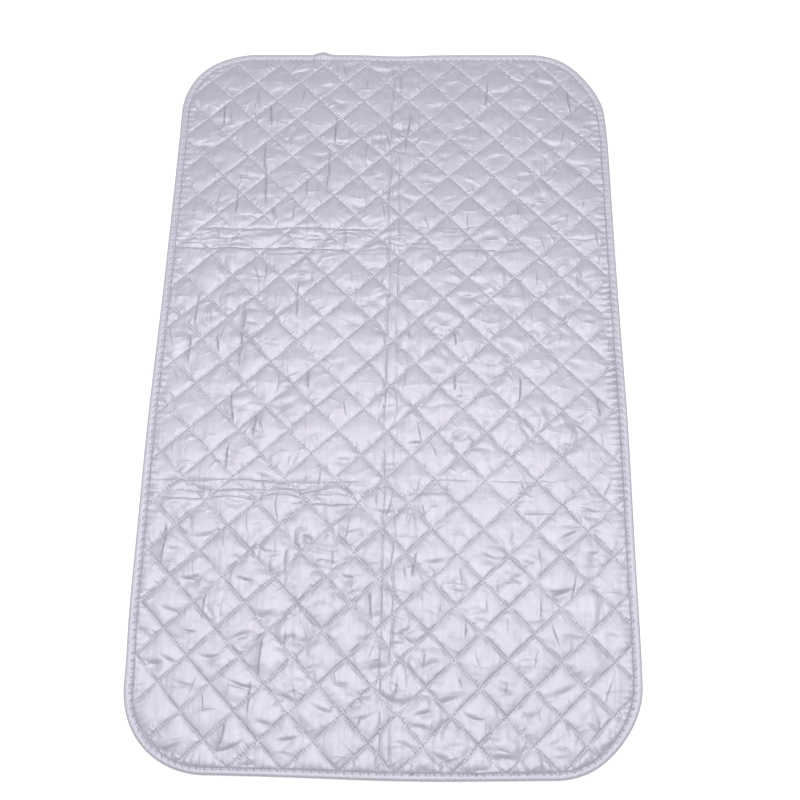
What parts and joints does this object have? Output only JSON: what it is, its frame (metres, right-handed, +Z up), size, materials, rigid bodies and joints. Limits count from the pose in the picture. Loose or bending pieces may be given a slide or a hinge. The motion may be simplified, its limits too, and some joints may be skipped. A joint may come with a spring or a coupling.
{
  "type": "ironing pad",
  "caption": "Quilted silver ironing pad with rounded corners and a bound rim, laid flat on a table for pressing clothes and folded in three for storage.",
  "frame": {"origin": "middle of the pad on its underside", "axes": "+X across the pad, +Y along its length to the back edge, +Z up out of the silver face"},
  "size_m": [0.48, 0.8015, 0.0061],
  "materials": {
    "silver_cover": "silver-coated cotton, satin",
    "wadding": "white fibre batting",
    "backing": "plain natural cotton, matte",
    "silver_binding": "silver-coated cotton tape, satin"
  },
  "bodies": {
    "middle_panel": {"face_cover_middle": "silver_cover", "wadding_middle": "wadding", "backing_middle": "backing", "binding_left": "silver_binding", "binding_right": "silver_binding"},
    "back_panel": {"face_cover_back": "silver_cover", "wadding_back": "wadding", "backing_back": "backing", "binding_back": "silver_binding", "binding_lap": "silver_binding"},
    "front_panel": {"face_cover_front": "silver_cover", "wadding_front": "wadding", "backing_front": "backing", "binding_front": "silver_binding"}
  },
  "joints": [
    {"name": "back_fold", "type": "hinge", "parent": "middle_panel", "child": "back_panel", "pos_m": [0, 0.152, 0.0071], "axis": [1, 0, 0], "range_deg": [0, 180]},
    {"name": "front_fold", "type": "hinge", "parent": "middle_panel", "child": "front_panel", "pos_m": [0, -0.135, 0.01115], "axis": [-1, 0, 0], "range_deg": [0, 180]}
  ]
}
